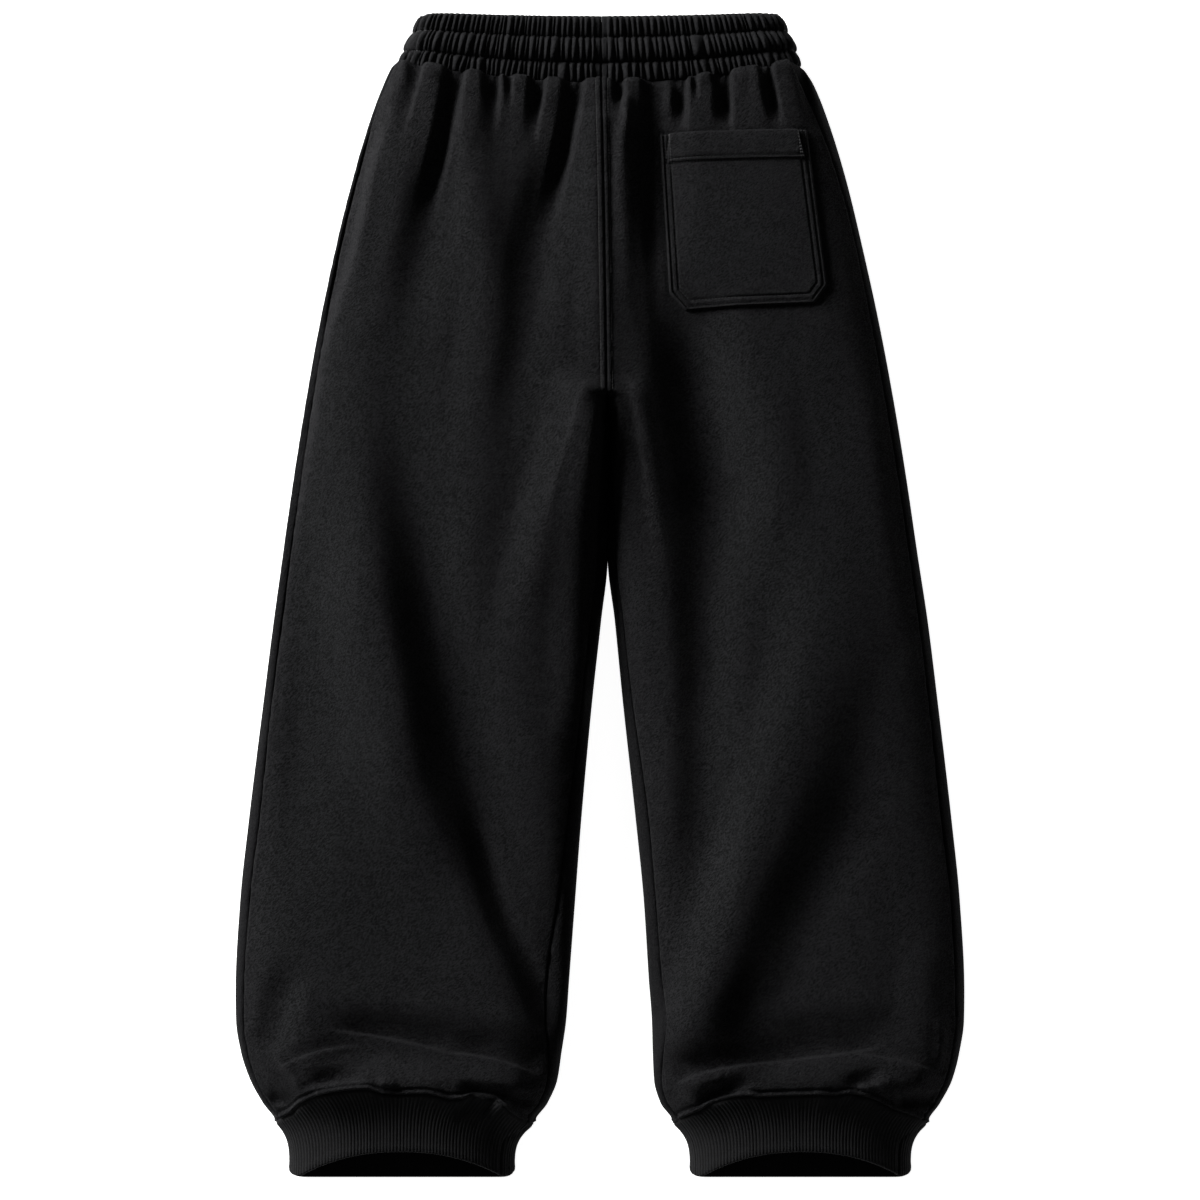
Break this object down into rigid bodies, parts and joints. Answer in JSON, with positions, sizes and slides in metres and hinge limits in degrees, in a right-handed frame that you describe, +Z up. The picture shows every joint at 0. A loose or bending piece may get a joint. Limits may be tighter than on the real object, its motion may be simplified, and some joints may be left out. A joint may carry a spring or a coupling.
{
  "type": "jogger sweatpants",
  "caption": "Loose heavy-fleece jogger sweatpants lying on their front, with a shirred elastic waistband, a back patch pocket and rib-knit ankle cuffs; waist and cuffs are open.",
  "frame": {"origin": "on the surface the garment lies on, under the middle of its length and width", "axes": "+X towards the wearer's right side, which is on the right as the back is seen; +Y along the legs towards the waist; +Z up, out of the back"},
  "size_m": [0.6522, 1.075, 0.0648],
  "materials": {
    "fleece": "matte black brushed fleece",
    "shirred_band": "the same fleece, gathered over elastic",
    "rib_knit": "black rib knit",
    "pocket_fleece": "matte black brushed fleece, topstitched"
  },
  "bodies": {
    "root": {"back_left": "fleece", "back_right": "fleece", "front_left": "fleece", "front_right": "fleece", "waistband": "shirred_band", "cuff_left": "rib_knit", "cuff_right": "rib_knit", "pocket_back": "pocket_fleece"}
  },
  "joints": []
}
